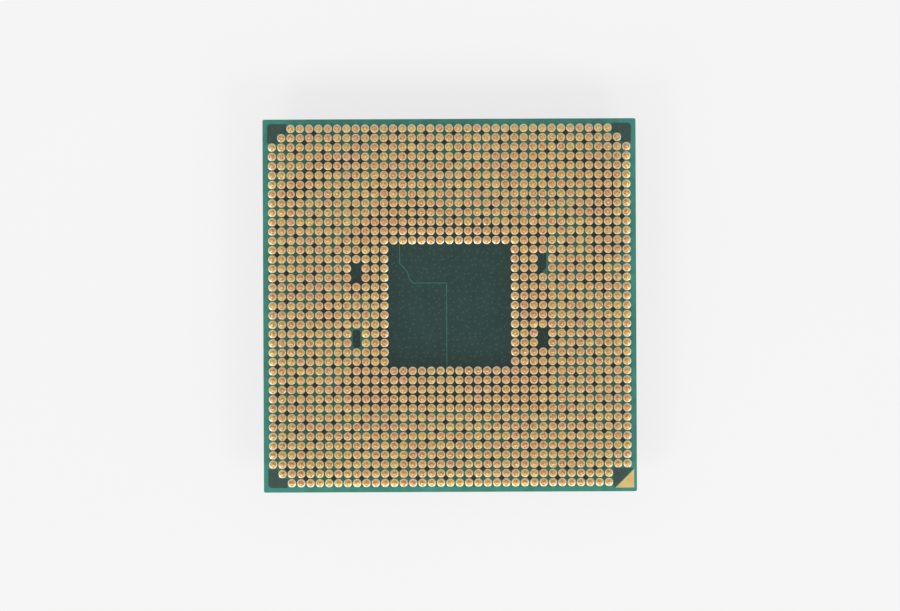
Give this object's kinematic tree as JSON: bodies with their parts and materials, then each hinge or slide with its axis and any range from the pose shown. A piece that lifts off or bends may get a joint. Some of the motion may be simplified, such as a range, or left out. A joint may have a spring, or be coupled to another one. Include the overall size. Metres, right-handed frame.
{
  "type": "computer processor",
  "caption": "Square desktop computer processor: a green laminate package with a grid of gold contact pins on one face and a flat metal heat-spreading lid on the other.",
  "frame": {"origin": "centre of the lid's flat outer face, where a heatsink presses", "axes": "+Z from the lid towards the pins, +X and +Y along the package's sides; the corner mark lies at +X -Y"},
  "size_m": [0.04, 0.04, 0.0064],
  "materials": {
    "laminate": "matte",
    "buildup": "satin",
    "solder_mask": "gloss",
    "copper": "satin",
    "gold": "satin",
    "pin_gold": "polished",
    "solder": "satin",
    "nickel": "satin",
    "sealant": "matte",
    "silicon": "polished",
    "resin": "satin",
    "ceramic_chip": "matte",
    "tin": "satin"
  },
  "bodies": {
    "root": {"substrate_core": "laminate", "lid_side_core_foil": "copper", "pin_side_core_foil": "copper", "lid_side_plane": "copper", "ground_plane": "copper", "power_plane": "copper", "signal_copper": "copper", "corner_copper": "copper", "lid_side_buildup": "buildup", "pin_side_buildup": "buildup", "lid_side_mask": "solder_mask", "pin_side_mask": "solder_mask", "pin_side_mark": "gold", "lid_side_mark": "gold", "contact_pads": "gold", "pin_solder_left": "solder", "pin_solder_right": "solder", "contact_pins_left": "pin_gold", "contact_pins_right": "pin_gold", "heat_spreader": "nickel", "lid_sealant": "sealant", "lid_gold_patch": "gold", "thermal_solder": "solder", "silicon_die": "silicon", "die_bumps": "solder", "underfill": "resin", "capacitor_bodies": "ceramic_chip", "capacitor_ends": "tin", "capacitor_joints": "solder"}
  },
  "joints": []
}
